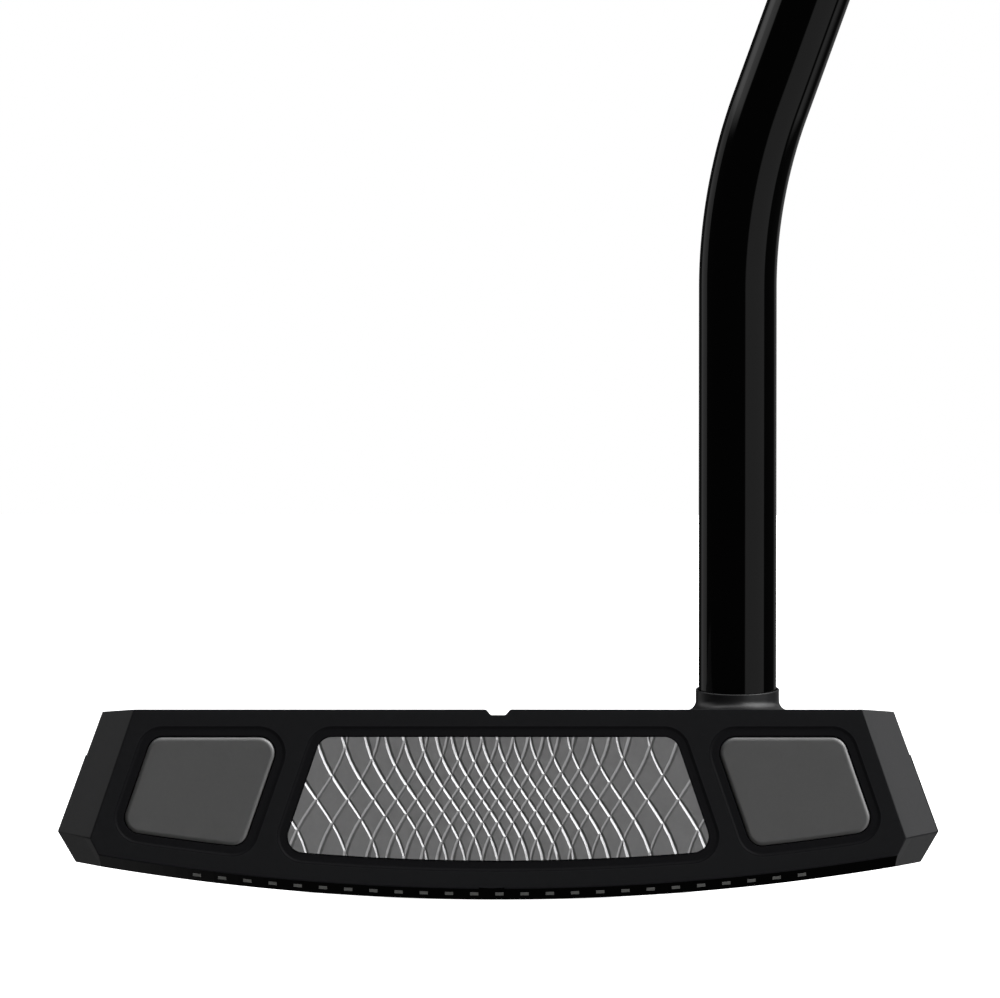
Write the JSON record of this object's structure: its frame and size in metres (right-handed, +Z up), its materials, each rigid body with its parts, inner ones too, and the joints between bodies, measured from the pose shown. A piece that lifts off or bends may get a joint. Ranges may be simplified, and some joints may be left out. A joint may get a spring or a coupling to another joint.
{
  "type": "mallet putter",
  "caption": "Right-handed mallet putter with a milled face insert, flush face weights, a chamfered front block, an open rear body, a bent over-hosel shaft and a flat-fronted grip.",
  "frame": {"origin": "on the ground, on the level facet at the middle of the sole plate, with the head soled flat", "axes": "+Z up; the face looks towards -Y, the way the ball leaves; +X is the heel side, where the golfer stands; -X is the toe"},
  "size_m": [0.3605, 0.0972, 0.8158],
  "materials": {
    "front_block": "satin",
    "face_insert": "satin",
    "face_weight": "satin",
    "bonding_pad": "matte",
    "rear_body": "satin",
    "screw": "satin",
    "sole_plate": "gloss",
    "damper": "matte",
    "sight_line": "satin",
    "shaft": "gloss",
    "grip_core": "matte",
    "grip_skin": "matte",
    "grip_cap": "satin"
  },
  "bodies": {
    "root": {"face_frame": "front_block", "face_insert": "face_insert", "insert_damping_pad": "bonding_pad", "toe_tungsten_weight": "face_weight", "heel_tungsten_weight": "face_weight", "toe_weight_pad": "bonding_pad", "heel_weight_pad": "bonding_pad", "rear_body": "rear_body", "body_screw_1": "screw", "body_screw_2": "screw", "body_screw_3": "screw", "body_screw_4": "screw", "sole_plate": "sole_plate", "sole_plate_screw_front_toe": "screw", "sole_plate_screw_front_heel": "screw", "sole_plate_screw_rear_toe": "screw", "sole_plate_screw_rear_heel": "screw", "cavity_damper": "damper", "alignment_bar": "rear_body", "sight_line_inlay": "sight_line", "bar_screw_front": "screw", "bar_screw_rear": "screw", "shaft": "shaft", "grip_tape": "bonding_pad", "grip_core": "grip_core", "grip_skin": "grip_skin", "grip_butt_cap": "grip_cap"}
  },
  "joints": []
}
